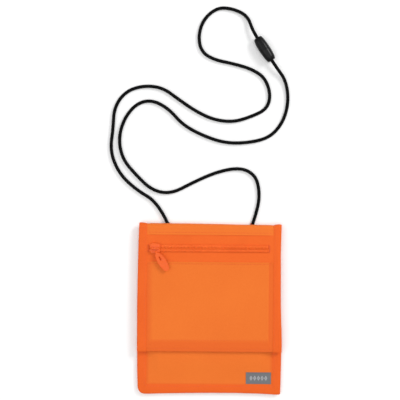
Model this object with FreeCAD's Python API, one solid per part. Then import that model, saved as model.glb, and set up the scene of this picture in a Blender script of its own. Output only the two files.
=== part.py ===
"""Neck pouch wallet: a flat fabric pouch with a folded front flap, a zip pocket and a neck cord.

The pouch lies on its back. X runs across it, Y towards the top fold, Z up out of its face.
The origin is under the middle of the pouch, at the level of the surface it lies on. Millimetres.
"""
import FreeCAD, Part
import math
import os

# Overall sizes
pouch_width = 130.0
pouch_height = 155.0
left_corner_radius = 6.0
right_corner_radius = 1.5

# Materials
fabric = 0.4             # woven shell
lining = 0.25
tape = 0.4               # binding tape, one layer
binding_width = 7.0      # binding seen on each face
strip = 0.6              # each half of the hook-and-loop pair

# Main compartment
compartment_depth = 4.2
back_rise = 2.4          # height of the side seams above the back
side_slope = 12.0        # run from the binding up to the flat of the panel
front_bottom_slope = 25.0
mouth_setback = 13.0     # top fold to the front panel's free edge

# Flap
flap_drop = 117.5        # top fold to the flap's free edge
flap_gap = 0.2           # loop strip to hook strip
pocket_depth = 0.9
hem_lip = 0.5

# Top fold
fold_depth = 4.0         # how far the fold bulges past the flat panels
fold_facets = 10
hinge_setback = 0.5      # hinge axis in from the fold's outer face
hinge_clearance = 0.55   # slider's crown to the cord when the flap lies open

# Hook-and-loop strips
strip_length = 90.0
strip_width = 9.5
strip_setback = 2.0      # strip to the flap's free edge

# Zip
zip_setback = 22.7       # top fold to the zip's centre line
tape_half_width = 13.0
tape_split = 0.8         # slit between the two tapes
coil_width = 2.9
coil_height = 1.2
zip_start_gap = 2.0      # binding to the coils' left end
zip_end_gap = 4.7        # coils' right end to the binding
bartack = 1.2

# Slider and pull
slider_setback = 5.6     # coils' left end to the slider's middle
slider_length = 9.4
slider_width = 9.2
slider_tail_width = 7.4
slider_nose = 1.6        # run of the cut-off corners at the wide end
slider_nose_share = 0.7  # width left between them
slider_plate = 0.8
under_plate = 0.6
under_plate_margin = 0.3
slider_gap = 0.15
post_length = 3.0
post_thickness = 0.4
crown_length = 8.4
crown_width = 1.2
crown_wall = 0.6
crown_opening = 1.3
pull_pivot_offset = -1.5   # from the slider's middle
pull_angle = -57.0         # direction of the hanging pull, from +X
link_reach = 4.0
link_half_width = 1.5
link_wire = 0.3            # radius
pin_radius = 0.28
pin_clearance = 0.08
eye_radius = 0.55
eye_half_length = 1.0
pull_length = 20.2
pull_thickness = 0.8
pull_neck = 1.3            # from the pin to the shoulder
pull_shoulder_run = 0.6
pull_shoulder_half = 2.3
pull_widest_half = 4.0
pull_widest_at = 9.0
pull_end_half = 3.0
pull_slot_at = 7.2
pull_slot_half = 1.3
pull_slot_radius = 0.7

# Woven label
label_length = 23.0
label_height = 10.7
label_side_gap = 1.3     # label to the side binding
label_bottom_gap = 0.9   # label to the bottom binding
label_thickness = 0.35

# Cord
cord_radius = 1.5
cord_exit_clearance = 0.15
tail_width = 4.6
tail_height = 1.4
tail_length = 13.5
tail_overlap = 0.35      # the tail runs this far into the round cord
stitch = 0.3

# Breakaway clasp on the cord, as a barrel in two halves
clasp_middle = (48.35, 160.6)   # X, and distance above the top fold
clasp_angle = -56.6             # direction of the barrel's axis, from +X
clasp_half_length = 12.4
clasp_radius = 5.15
clasp_shoulder = 6.8      # from the seam to where the taper starts
clasp_shoulder_radius = 4.85
clasp_bulge = 0.25       # how far the sides stand out from straight
clasp_end_radius = 3.9
clasp_end_round = 0.9
clasp_floor_gap = 0.05
clasp_bore_radius = 2.9
clasp_stem_radius = 2.75
clasp_stem_length = 5.0
clasp_seam_gap = 0.1
clasp_wall = 1.3
knot_radius = 2.3
knot_chamber_radius = 2.6
knot_length = 2.8
knot_gap = 0.2           # end wall to knot
knot_round = 0.7

# Cord routes: X, distance above the top fold, height of the centre line.
left_route = [
    (-38.1, -3.2, 1.5), (-47.4, 18.2, 1.5), (-70.0, 31.4, 1.5), (-85.2, 46.4, 1.5),
    (-93.0, 66.4, 1.5), (-90.4, 87.0, 1.5), (-89.6, 106.0, 1.5), (-79.6, 120.8, 1.5),
    (-63.4, 126.6, 1.5), (-45.4, 125.0, 1.5), (-30.6, 114.4, 1.5), (-14.8, 103.6, 1.5),
    (2.0, 95.6, 1.5), (20.4, 93.6, 1.5), (37.2, 99.0, 1.5), (51.0, 105.8, 1.5),
    (54.6, 118.4, 1.5), (49.6, 134.2, 1.5), (37.4, 142.4, 1.5), (20.0, 147.4, 1.5),
    (1.6, 151.0, 1.5), (-9.8, 158.4, 1.5), (-12.6, 172.6, 1.5), (-8.2, 187.6, 1.5),
    (4.0, 198.8, 1.5), (18.2, 198.4, 1.5), (32.6, 191.8, 1.9), (37.35, 177.3, 5.2),
    (42.3, 169.8, 5.2),
]
right_route = [
    (37.8, -3.2, 1.5), (43.0, 12.0, 1.5), (45.2, 28.0, 1.5), (41.6, 44.4, 1.5),
    (28.0, 51.8, 1.5), (7.0, 48.2, 1.5), (-14.8, 38.6, 1.5), (-36.4, 27.0, 1.5),
    (-54.0, 30.0, 1.5), (-69.4, 44.6, 1.5), (-81.6, 59.0, 1.5), (-85.4, 77.6, 1.5),
    (-80.2, 96.4, 1.5), (-68.6, 110.4, 1.5), (-54.6, 113.4, 1.5), (-39.2, 105.4, 1.5),
    (-26.6, 91.0, 1.5), (-8.4, 81.2, 1.5), (12.6, 74.2, 1.5), (34.4, 74.6, 1.5),
    (54.4, 79.8, 1.5), (66.4, 94.2, 1.5), (71.2, 113.4, 1.5), (68.4, 132.4, 1.9),
    (59.35, 143.9, 5.2), (54.4, 151.4, 5.2),
]
left_end_points = 4      # route points of the stretch that bends when the clasp opens

# Places across and along the pouch
half_width = pouch_width / 2
bottom_y = -pouch_height / 2
fold_y = pouch_height / 2
panel_top_y = fold_y - fold_depth
mouth_y = fold_y - mouth_setback
flap_y = fold_y - flap_drop
inner_x = half_width - binding_width
inner_y = bottom_y + binding_width
zip_y = fold_y - zip_setback
hinge_y = fold_y - hinge_setback
zip_start_x = zip_start_gap - inner_x
zip_end_x = inner_x - zip_end_gap
slider_x = zip_start_x + slider_setback
label_x = inner_x - label_side_gap - label_length
label_y = inner_y + label_bottom_gap

# Levels, from the back up
back_lining_z = fabric
cavity_z = back_lining_z + lining
front_z = cavity_z + compartment_depth
loop_z = front_z + fabric
hook_z = loop_z + strip + flap_gap
flap_lining_z = hook_z + strip
pocket_z = flap_lining_z + lining
flap_z = pocket_z + pocket_depth
flap_top_z = flap_z + fabric
coil_top_z = flap_top_z + coil_height
crown_z = coil_top_z + slider_gap + slider_plate
link_z = crown_z + crown_opening / 2
arch_top_z = crown_z + crown_opening + crown_wall
hinge_height = (arch_top_z + 2 * cord_radius + hinge_clearance) / 2
clasp_height = clasp_radius + clasp_floor_gap

# Levels at the side seams
seam_lining_z = back_rise + fabric
seam_front_z = seam_lining_z + lining
seam_top_z = seam_front_z + fabric
body_binding_top_z = seam_top_z + tape


def box(x0, x1, y0, y1, z0, z1):
    return Part.makeBox(x1 - x0, y1 - y0, z1 - z0, FreeCAD.Vector(x0, y0, z0))


def loop(points):
    """A closed wire through the points."""
    vectors = [FreeCAD.Vector(*p) for p in points]
    return Part.makePolygon(vectors + vectors[:1])


def prism_along_x(outline_yz, x0, x1):
    wire = loop([(x0, y, z) for y, z in outline_yz])
    return Part.Face(wire).extrude(FreeCAD.Vector(x1 - x0, 0, 0))


def fused(shapes):
    whole = shapes[0].multiFuse(shapes[1:]) if len(shapes) > 1 else shapes[0]
    return whole.removeSplitter()


def pouch_plate(inset, top_y, z0, z1):
    """The pouch's outline, drawn in by the inset, with its rounded bottom corners."""
    side = half_width - inset
    bottom = bottom_y + inset
    left = max(left_corner_radius - inset, 0.5)
    right = max(right_corner_radius - inset, 0.5)
    bend = math.sqrt(0.5)
    corner = FreeCAD.Vector
    p1, p2 = corner(-side, top_y, z0), corner(-side, bottom + left, z0)
    p3 = corner(-side + left * (1 - bend), bottom + left * (1 - bend), z0)
    p4, p5 = corner(-side + left, bottom, z0), corner(side - right, bottom, z0)
    p6 = corner(side - right * (1 - bend), bottom + right * (1 - bend), z0)
    p7, p8 = corner(side, bottom + right, z0), corner(side, top_y, z0)
    edges = [Part.LineSegment(p1, p2), Part.Arc(p2, p3, p4), Part.LineSegment(p4, p5),
             Part.Arc(p5, p6, p7), Part.LineSegment(p7, p8), Part.LineSegment(p8, p1)]
    wire = Part.Wire([edge.toShape() for edge in edges])
    return Part.Face(wire).extrude(corner(0, 0, z1 - z0))


def mound(z, rise, bottom_slope, top_y):
    """The puffed part of a panel: sloping sides and bottom, and a flat middle."""
    low = [(-inner_x, inner_y, z), (inner_x, inner_y, z), (inner_x, top_y, z), (-inner_x, top_y, z)]
    x, y, level = inner_x - side_slope, inner_y + bottom_slope, z + rise
    high = [(-x, y, level), (x, y, level), (x, top_y, level), (-x, top_y, level)]
    return Part.makeLoft([loop(low), loop(high)], True, True)


def puffed_panel(seam_z, rise, thickness, bottom_slope, top_y):
    """A sheet that is flat under the binding and stands in or out by the rise inside it."""
    rim = pouch_plate(tape, top_y, seam_z, seam_z + thickness)
    under = mound(seam_z, rise, bottom_slope, top_y)
    over = mound(seam_z + thickness, rise, bottom_slope, top_y)
    solid, hollow = (over, under) if rise > 0 else (under, over)
    return rim.fuse(solid).cut(hollow).removeSplitter()


def body_parts():
    top = body_binding_top_z
    binding = pouch_plate(0, panel_top_y, back_rise - tape, top)
    binding = binding.cut(pouch_plate(tape, panel_top_y + 1, back_rise, seam_top_z))
    binding = binding.cut(box(-inner_x, inner_x, inner_y, panel_top_y + 1, 0, top + 1))
    front_rise = front_z - seam_front_z
    strip_y = flap_y + strip_setback
    return {
        "back_panel": puffed_panel(back_rise, -back_rise, fabric, side_slope, panel_top_y),
        "back_lining": puffed_panel(seam_lining_z, -back_rise, lining, side_slope, panel_top_y),
        "front_panel": puffed_panel(seam_front_z, front_rise, fabric, front_bottom_slope, mouth_y),
        "body_binding": binding,
        "loop_strip": box(-strip_length / 2, strip_length / 2, strip_y, strip_y + strip_width,
                          loop_z, loop_z + strip),
        "woven_label": woven_label(front_rise),
    }


def woven_label(front_rise):
    """A patch that follows the front panel near its bottom corner."""
    over = mound(seam_top_z + label_thickness, front_rise, front_bottom_slope, mouth_y)
    under = mound(seam_top_z, front_rise, front_bottom_slope, mouth_y)
    patch = box(label_x, label_x + label_length, label_y, label_y + label_height,
                seam_top_z, loop_z)
    return over.cut(under).common(patch)


def back_level(x):
    """Underside of the back panel at the top fold."""
    run = min(max((abs(x) - inner_x + side_slope) / side_slope, 0), 1)
    return back_rise * run


def half_ring(x, low, high, depth, thickness):
    """Corners of the fold's section at x, between its lowest and highest levels."""
    middle, half = (low + high) / 2, (high - low) / 2
    turns = [math.pi * (k / fold_facets - 0.5) for k in range(fold_facets + 1)]
    outer = [(x, panel_top_y + depth * math.cos(t), middle + half * math.sin(t)) for t in turns]
    inner = [(x, panel_top_y + (depth - thickness) * math.cos(t),
              middle + (half - thickness) * math.sin(t)) for t in reversed(turns)]
    return outer + inner


def fold_section(x):
    """The shell's section: at the seams it lies one tape further in, under the binding."""
    low = back_level(x)
    return half_ring(x, low, flap_top_z, fold_depth - tape * low / back_rise, fabric)


def top_fold():
    """The shell fabric where it turns over the top, with a slot for each end of the cord."""
    places = [half_width - tape, inner_x, inner_x - side_slope]
    places = [-x for x in places] + places[::-1]
    fold = Part.makeLoft([loop(fold_section(x)) for x in places], True, True)
    for route in (left_route, right_route):
        start, after = route_vectors(route)[:2]
        slot = Part.makeCylinder(cord_radius + cord_exit_clearance, 2 * fold_depth,
                                 start, after - start)
        fold = fold.cut(slot)
    return fold


def fold_binding(side):
    """Binding round the fold's edge, outside and inside the shell."""
    x0, x1 = sorted((side * inner_x, side * half_width))
    full = half_ring(x0, back_rise - tape, flap_top_z + tape, fold_depth, 2 * tape + fabric)
    ring = prism_along_x([(y, z) for x, y, z in full], x0, x1)
    x0, x1 = sorted((side * inner_x, side * (half_width - tape)))
    shell = half_ring(x0, back_rise, flap_top_z, fold_depth - tape, fabric)
    return ring.cut(prism_along_x([(y, z) for x, y, z in shell], x0, x1))


def flap_sheet(y0, y1, z0, z1):
    """A flap layer, from binding to binding."""
    return box(tape - half_width, half_width - tape, y0, y1, z0, z1)


def zip_bar(y0, y1):
    return box(zip_start_x, zip_end_x, y0, y1, flap_top_z, coil_top_z)


def flap_parts():
    tape_top, tape_bottom = zip_y + tape_half_width, zip_y - tape_half_width
    upper, lower = zip_y + tape_split / 2, zip_y - tape_split / 2
    panel = flap_sheet(flap_y, tape_bottom, flap_z, flap_top_z)
    lip = flap_sheet(flap_y, flap_y + hem_lip, flap_lining_z, flap_z)
    strip_y = flap_y + strip_setback
    bars = [box(x, x + bartack, lower - coil_width, upper + coil_width, flap_top_z,
                flap_top_z + tape) for x in (zip_start_x - bartack, zip_end_x)]
    parts = {
        "flap_top_strip": flap_sheet(tape_top, panel_top_y, flap_z, flap_top_z),
        "flap_panel": fused([panel, lip]),
        "flap_lining": flap_sheet(flap_y + hem_lip, panel_top_y, flap_lining_z, pocket_z),
        "hook_strip": box(-strip_length / 2, strip_length / 2, strip_y, strip_y + strip_width,
                          hook_z, hook_z + strip),
        "zip_tape_upper": flap_sheet(upper, tape_top, flap_z, flap_top_z),
        "zip_tape_lower": flap_sheet(tape_bottom, lower, flap_z, flap_top_z),
        "zip_coil_upper": zip_bar(upper, upper + coil_width),
        "zip_coil_lower": zip_bar(lower - coil_width, lower),
        "zip_bartacks": Part.makeCompound(bars),
    }
    for name, side in (("flap_left_binding", -1), ("flap_right_binding", 1)):
        x0, x1 = sorted((side * inner_x, side * half_width))
        channel = box(x0, x1, flap_y, panel_top_y, flap_lining_z - tape, flap_top_z + tape)
        x0, x1 = sorted((side * inner_x, side * (half_width - tape)))
        slot = box(x0, x1, flap_y, panel_top_y, flap_lining_z, flap_top_z)
        parts[name] = channel.cut(slot)
    return parts


def slider_plate_solid(z0, z1, margin):
    """A slider plate, wide at the shoulders and narrow at the tail."""
    nose, tail = slider_x - slider_length / 2, slider_x + slider_length / 2
    wide, narrow = slider_width / 2 - margin, slider_tail_width / 2 - margin
    shoulder, nose_half = nose + slider_nose, wide * slider_nose_share
    corners = [(nose, -nose_half), (shoulder, -wide), (slider_x, -wide), (tail, -narrow),
               (tail, narrow), (slider_x, wide), (shoulder, wide), (nose, nose_half)]
    wire = loop([(x, zip_y + y, z0) for x, y in corners])
    return Part.Face(wire).extrude(FreeCAD.Vector(0, 0, z1 - z0))


def slider_parts():
    top = slider_plate_solid(coil_top_z + slider_gap, crown_z, 0)
    under_top = flap_z - slider_gap
    bottom = slider_plate_solid(under_top - under_plate, under_top, under_plate_margin)
    nose = slider_x - slider_length / 2
    post = box(nose, nose + post_length, zip_y - post_thickness / 2, zip_y + post_thickness / 2,
               under_top - under_plate, crown_z)
    left, right = slider_x - crown_length / 2, slider_x + crown_length / 2
    arch = box(left, right, zip_y - crown_width / 2, zip_y + crown_width / 2, crown_z, arch_top_z)
    arch = arch.cut(box(left + crown_wall, right - crown_wall, zip_y - crown_width,
                        zip_y + crown_width, crown_z, crown_z + crown_opening))
    return {"slider_body": fused([top, bottom, post]), "slider_crown": arch}


def pull_place(along, across, z=0.0):
    """A point given along and across the pull, from its swivel point on the slider."""
    turn = math.radians(pull_angle)
    x = slider_x + pull_pivot_offset + along * math.cos(turn) - across * math.sin(turn)
    y = zip_y + along * math.sin(turn) + across * math.cos(turn)
    return FreeCAD.Vector(x, y, z)


def rod(start, end, radius):
    return Part.makeCylinder(radius, (end - start).Length, start, end - start)


def puller_link():
    """A wire loop through the crown, whose outer bar carries the pull."""
    corners = [pull_place(a, b, link_z) for a, b in ((0, -link_half_width), (0, link_half_width),
               (link_reach, link_half_width), (link_reach, -link_half_width))]
    pieces = [Part.makeSphere(link_wire, corner) for corner in corners]
    for k, radius in enumerate((link_wire, link_wire, pin_radius, link_wire)):
        pieces.append(rod(corners[k], corners[(k + 1) % 4], radius))
    return fused(pieces)


def pull_tab():
    """The pull: an eye on the link's bar, a neck, and a plate that widens and then rounds off."""
    z = link_z - pull_thickness / 2
    end = link_reach + pull_length
    neck = link_reach + pull_neck
    widest = link_reach + pull_widest_at
    round_centre = end - pull_end_half
    sides = [(link_reach, eye_half_length), (neck, eye_half_length),
             (neck + pull_shoulder_run, pull_shoulder_half), (widest, pull_widest_half),
             (round_centre, pull_end_half)]
    right = [pull_place(a, b, z) for a, b in sides]
    left = [pull_place(a, -b, z) for a, b in reversed(sides)]
    edges = [Part.LineSegment(p, q).toShape() for p, q in zip(right, right[1:])]
    edges.append(Part.Arc(right[-1], pull_place(end, 0, z), left[0]).toShape())
    edges += [Part.LineSegment(p, q).toShape() for p, q in zip(left, left[1:])]
    edges.append(Part.LineSegment(left[-1], right[0]).toShape())
    plate = Part.Face(Part.Wire(edges)).extrude(FreeCAD.Vector(0, 0, pull_thickness))
    slot_a = pull_place(link_reach + pull_slot_at - pull_slot_half, 0, z - 1)
    slot_b = pull_place(link_reach + pull_slot_at + pull_slot_half, 0, z - 1)
    up = FreeCAD.Vector(0, 0, 1)
    for centre in (slot_a, slot_b):
        plate = plate.cut(Part.makeCylinder(pull_slot_radius, pull_thickness + 2, centre, up))
    middle = Part.makeBox(2 * pull_slot_half, 2 * pull_slot_radius, pull_thickness + 2,
                          FreeCAD.Vector(0, -pull_slot_radius, 0))
    middle.rotate(FreeCAD.Vector(0, 0, 0), up, pull_angle)
    middle.translate(slot_a)
    eye_start = pull_place(link_reach, -eye_half_length, link_z)
    eye_end = pull_place(link_reach, eye_half_length, link_z)
    hole = rod(pull_place(link_reach, -link_half_width, link_z),
               pull_place(link_reach, link_half_width, link_z), pin_radius + pin_clearance)
    return plate.cut(middle).fuse(rod(eye_start, eye_end, eye_radius)).cut(hole).removeSplitter()


def route_vectors(route):
    return [FreeCAD.Vector(x, fold_y + above, z) for x, above, z in route]


def cord_tube(name, points, lengths):
    """Straight runs joined by tangent arcs, each as large as its two runs allow."""
    edges, here, length = [], points[0], 0.0
    for before, corner, after in zip(points, points[1:], points[2:]):
        incoming, outgoing = corner - before, after - corner
        turn = incoming.getAngle(outgoing)
        reach = 0.45 * min(incoming.Length, outgoing.Length)
        radius = reach / math.tan(turn / 2)
        arc_start = corner - incoming.normalize() * reach
        arc_end = corner + outgoing.normalize() * reach
        inward = (arc_start + arc_end) * 0.5 - corner
        middle = corner + inward.normalize() * (radius / math.cos(turn / 2) - radius)
        edges.append(Part.LineSegment(here, arc_start).toShape())
        edges.append(Part.Arc(arc_start, middle, arc_end).toShape())
        length += (arc_start - here).Length + radius * turn
        here = arc_end
        print(f"{name}: turn {math.degrees(turn):.0f} degrees, radius {radius:.1f}")
    edges.append(Part.LineSegment(here, points[-1]).toShape())
    length += (points[-1] - here).Length
    path = Part.Wire(edges)
    section = Part.Wire(Part.Circle(points[0], points[1] - points[0], cord_radius).toShape())
    tube = path.makePipeShell([section], True, False)
    expected = math.pi * cord_radius ** 2 * length
    print(f"{name}: length {length:.1f}, volume over section x length {tube.Volume / expected:.4f}")
    lengths.append(length)
    return tube


def cord_parts():
    lengths = []
    left, right = route_vectors(left_route), route_vectors(right_route)
    joint = (left[-left_end_points] + left[-left_end_points - 1]) * 0.5
    parts = {
        "left_strand": cord_tube("left_strand", left[:-left_end_points] + [joint], lengths),
        "left_strand_end": cord_tube("left_strand_end", [joint] + left[-left_end_points:], lengths),
        "right_strand": cord_tube("right_strand", right, lengths),
    }
    print(f"cord: {sum(lengths):.1f} in all")
    stitches = []
    for name, route in (("left_cord_tail", left), ("right_cord_tail", right)):
        x = route[0].x
        tail = box(x - tail_width / 2, x + tail_width / 2, panel_top_y - tail_length,
                   route[0].y + tail_overlap, cavity_z, cavity_z + tail_height)
        parts[name] = tail
        reach = tail_width / 2 + bartack
        for y in (panel_top_y - tail_length + bartack, panel_top_y - 3 * bartack):
            bridge = box(x - reach, x + reach, y, y + bartack, cavity_z,
                         cavity_z + tail_height + stitch)
            stitches.append(bridge.cut(tail))
    parts["cord_bartacks"] = Part.makeCompound(stitches)
    return parts


def clasp_place(along):
    """A point on the clasp's axis, from its seam towards the right-hand strand."""
    turn = math.radians(clasp_angle)
    x, above = clasp_middle
    return FreeCAD.Vector(x + along * math.cos(turn), fold_y + above + along * math.sin(turn),
                          clasp_height)


def clasp_shell(side):
    """One half of the barrel, turned about the clasp's axis: full at the seam, slim at the end."""
    seam = clasp_seam_gap / 2
    end_start = clasp_half_length - clasp_end_round
    points = [(0, seam), (clasp_radius, seam), (clasp_shoulder_radius, clasp_shoulder),
              (clasp_end_radius, end_start),
              (clasp_end_radius - clasp_end_round, clasp_half_length), (0, clasp_half_length)]
    p = [FreeCAD.Vector(r, 0, z) for r, z in points]
    outward = FreeCAD.Vector(clasp_bulge, 0, 0)
    bulge = (p[1] + p[2]) * 0.5 + outward * 0.5
    taper = (p[2] + p[3]) * 0.5 + outward
    edges = [Part.LineSegment(p[0], p[1]), Part.Arc(p[1], bulge, p[2]),
             Part.Arc(p[2], taper, p[3]), Part.LineSegment(p[3], p[4]),
             Part.LineSegment(p[4], p[5]), Part.LineSegment(p[5], p[0])]
    face = Part.Face(Part.Wire([edge.toShape() for edge in edges]))
    axis = FreeCAD.Vector(0, 0, 1)
    return aim_at_clasp(face.revolve(FreeCAD.Vector(0, 0, 0), axis, 360), side)


def aim_at_clasp(shape, side):
    """Turn a shape modelled up +Z from the seam to point along the clasp, on the given side."""
    direction = (clasp_place(1) - clasp_place(0)) * side
    turn = FreeCAD.Rotation(FreeCAD.Vector(0, 0, 1), direction)
    shape = shape.copy()
    shape.Placement = FreeCAD.Placement(clasp_place(0), turn)
    return shape


def clasp_cylinder(side, start, end, radius):
    solid = Part.makeCylinder(radius, end - start, FreeCAD.Vector(0, 0, start))
    return aim_at_clasp(solid, side)


def clasp_parts():
    inner_end = clasp_half_length - clasp_wall
    hole = cord_radius + cord_exit_clearance
    socket = clasp_shell(1).cut(clasp_cylinder(1, 0, inner_end, clasp_bore_radius))
    socket = socket.cut(clasp_cylinder(1, inner_end - 1, clasp_half_length + 1, hole))
    chamber = clasp_cylinder(-1, inner_end - knot_length - 3 * knot_gap, inner_end,
                             knot_chamber_radius)
    stem = clasp_cylinder(1, -1, clasp_stem_length, clasp_stem_radius)
    plug = clasp_shell(-1).fuse(stem).cut(chamber)
    plug = plug.cut(clasp_cylinder(-1, inner_end - 1, clasp_half_length + 1, hole))
    parts = {"clasp_socket": socket, "clasp_plug": plug.removeSplitter()}
    for name, side in (("left_cord_knot", -1), ("right_cord_knot", 1)):
        top = inner_end - knot_gap
        knot = clasp_cylinder(side, top - knot_length, top, knot_radius)
        parts[name] = knot.makeFillet(knot_round, knot.Edges[0:1] + knot.Edges[2:3])
    return parts


def all_parts():
    parts = body_parts()
    parts["top_fold"] = top_fold()
    parts["left_fold_binding"] = fold_binding(-1)
    parts["right_fold_binding"] = fold_binding(1)
    parts.update(flap_parts())
    parts.update(slider_parts())
    parts["puller_link"] = puller_link()
    parts["pull_tab"] = pull_tab()
    parts.update(cord_parts())
    parts.update(clasp_parts())
    return parts


def print_joints():
    """The places and directions that the record's joints state."""
    swivel, pin = pull_place(0, 0, link_z), pull_place(link_reach, 0, link_z)
    travel = zip_end_x - slider_x - slider_length / 2
    release = clasp_place(0) - clasp_place(1)
    print(f"flap hinge: y {hinge_y}, z {hinge_height}")
    print(f"slider travel: up to {travel:.2f}")
    print(f"pull: swivel {tuple(swivel)}, pin {tuple(pin)}")
    print(f"clasp release: direction {tuple(release)}")


os.makedirs("parts", exist_ok=True)
print_joints()
for node, shape in all_parts().items():
    if not shape.isValid() or shape.Volume <= 0:
        raise ValueError(f"{node} isn't a valid solid")
    shape.exportStep(f"parts/{node}.step")
    print(f"{node}: {len(shape.Solids)} solid, {shape.Volume:.1f} mm3")
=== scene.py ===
import math
import random

import bmesh
import bpy
import numpy as np
from mathutils import Matrix, Vector, noise


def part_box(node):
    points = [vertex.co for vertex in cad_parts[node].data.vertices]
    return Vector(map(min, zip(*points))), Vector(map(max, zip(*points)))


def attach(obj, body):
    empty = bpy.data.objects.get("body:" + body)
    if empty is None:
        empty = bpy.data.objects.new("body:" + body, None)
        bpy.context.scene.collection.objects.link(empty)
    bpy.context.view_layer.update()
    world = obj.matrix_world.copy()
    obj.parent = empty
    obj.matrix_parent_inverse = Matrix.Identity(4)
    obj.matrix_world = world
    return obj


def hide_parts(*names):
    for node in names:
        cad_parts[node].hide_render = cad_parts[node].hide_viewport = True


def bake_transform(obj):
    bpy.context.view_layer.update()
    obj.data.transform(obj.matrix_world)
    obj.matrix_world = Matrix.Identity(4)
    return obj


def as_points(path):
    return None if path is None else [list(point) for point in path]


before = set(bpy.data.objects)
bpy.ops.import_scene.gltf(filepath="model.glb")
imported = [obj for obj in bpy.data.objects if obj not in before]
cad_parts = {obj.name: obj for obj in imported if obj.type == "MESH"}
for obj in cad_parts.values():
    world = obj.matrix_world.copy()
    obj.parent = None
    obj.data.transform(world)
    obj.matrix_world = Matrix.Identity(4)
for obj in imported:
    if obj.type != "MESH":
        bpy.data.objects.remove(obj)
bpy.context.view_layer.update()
mm = 0.001  # the sizes below are in millimetres


# camera, light and floor

studio = {"middle": (-9.8, 99.1), "height": 1025.2, "lens": 100, "turn": 0.47,
          "floorColour": (251, 251, 251), "floorDull": (248, 248, 248), "world": 0.55}
lamps = [  # name, place, aimed at, size, power
    ("keyLight", (950, 850, 900), (0, 80, 0), 600, 10.0),
    ("overheadLight", (-100, 0, 1450), (0, 80, 0), 1500, 7.2),
    ("fillLight", (-900, -150, 900), (0, 80, 0), 900, 2.6),
]


def linear(red, green, blue):
    parts = [part / 255 for part in (red, green, blue)]
    return [p / 12.92 if p <= 0.04045 else ((p + 0.055) / 1.055) ** 2.4 for p in parts] + [1.0]


def newObject(name, data):
    made = bpy.data.objects.new(name, data)
    bpy.context.scene.collection.objects.link(made)
    return made


def makeCamera():
    camera = newObject("camera", bpy.data.cameras.new("camera"))
    camera.data.lens = studio["lens"]
    x, y = studio["middle"]
    camera.location = (x * mm, y * mm, studio["height"] * mm)
    camera.rotation_euler = (0, 0, math.radians(studio["turn"]))
    bpy.context.scene.camera = camera


def makeLamps():
    for name, place, target, size, power in lamps:
        light = bpy.data.lights.new(name, "AREA")
        light.shape = "DISK"
        light.size = size * mm
        light.energy = power
        lamp = newObject(name, light)
        lamp.location = Vector(place) * mm
        aim = (Vector(target) - Vector(place)).to_track_quat("-Z", "Y")
        lamp.rotation_euler = aim.to_euler()
    world = bpy.data.worlds.new("studio")
    world.use_nodes = True
    backdrop = world.node_tree.nodes["Background"]
    backdrop.inputs["Color"].default_value = (1, 1, 1, 1)
    backdrop.inputs["Strength"].default_value = studio["world"]
    bpy.context.scene.world = world
    bpy.context.scene.view_settings.view_transform = "Standard"


makeCamera()
makeLamps()
print("camera and lights are set")


# working with pieces

def clearSelection():
    if bpy.context.object and bpy.context.object.mode != "OBJECT":
        bpy.ops.object.mode_set(mode="OBJECT")
    bpy.ops.object.select_all(action="DESELECT")


def pick(piece):
    clearSelection()
    piece.select_set(True)
    bpy.context.view_layer.objects.active = piece


def newPrimitive(name, add, **settings):
    clearSelection()
    add(**settings)
    piece = bpy.context.object
    piece.name = name
    piece.data.name = name
    return piece


def settle(piece):
    # the place, turn and size go into the mesh
    pick(piece)
    bpy.ops.object.transform_apply(location=True, rotation=True, scale=True)


def useModifier(piece, kind, **settings):
    pick(piece)
    modifier = piece.modifiers.new(kind, kind)
    for key, value in settings.items():
        setattr(modifier, key, value)
    bpy.ops.object.modifier_apply(modifier=modifier.name)


def smooth(piece, angle=40):
    pick(piece)
    bpy.ops.object.shade_smooth_by_angle(angle=math.radians(angle))


def edit(piece):
    pick(piece)
    bpy.ops.object.mode_set(mode="EDIT")


def faceOut():
    # in edit mode, turns every face outward, and leaves edit mode
    bpy.ops.mesh.select_all(action="SELECT")
    bpy.ops.mesh.normals_make_consistent(inside=False)
    bpy.ops.object.mode_set(mode="OBJECT")


def selectFaces(piece, test):
    # in edit mode, selects the faces that pass the test, and no others
    bpy.ops.mesh.select_mode(type="FACE")
    bpy.ops.mesh.select_all(action="DESELECT")
    shape = bmesh.from_edit_mesh(piece.data)
    for face in shape.faces:
        face.select_set(bool(test(face.calc_center_median(), face.normal)))
    bmesh.update_edit_mesh(piece.data)


def dress(piece, finish, body=None, nodes=()):
    piece.data.materials.clear()
    piece.data.materials.append(finish)
    if body:
        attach(piece, body)
    if nodes:
        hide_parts(*nodes)
    return piece


def joinPieces(name, pieces):
    clearSelection()
    for piece in pieces:
        piece.select_set(True)
    bpy.context.view_layer.objects.active = pieces[0]
    if len(pieces) > 1:
        bpy.ops.object.join()
    pieces[0].name = name
    pieces[0].data.name = name
    return pieces[0]


def boxOf(node):
    low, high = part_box(node)
    return [c / mm for c in low], [c / mm for c in high]


def addSheet(name, columns, rows, place, thickness, offset=-1.0):
    # a grid whose points go where place() puts them, with its flat place as its UV map
    piece = newPrimitive(name, bpy.ops.mesh.primitive_grid_add, x_subdivisions=columns,
                         y_subdivisions=rows, size=1)
    mesh = piece.data
    spots = [place(v.co.x + 0.5, v.co.y + 0.5) for v in mesh.vertices]
    for vertex, spot in zip(mesh.vertices, spots):
        vertex.co = Vector(spot[0]) * mm
    layer = mesh.uv_layers.active or mesh.uv_layers.new(name="UVMap")
    for corner in mesh.loops:
        flat = spots[corner.vertex_index][1]
        layer.data[corner.index].uv = (flat[0] * mm, flat[1] * mm)
    if len(spots[0]) > 2:  # how far the cloth is doubled here and how much painted shade lies on it, from 0 to 1
        doubledAndShade = mesh.attributes.new("doubledAndShade", "FLOAT", "POINT")
        for item, spot in zip(doubledAndShade.data, spots):
            item.value = spot[2]
    if thickness:
        useModifier(piece, "SOLIDIFY", thickness=thickness * mm, offset=offset,
                    use_even_offset=True)
    return piece


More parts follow.
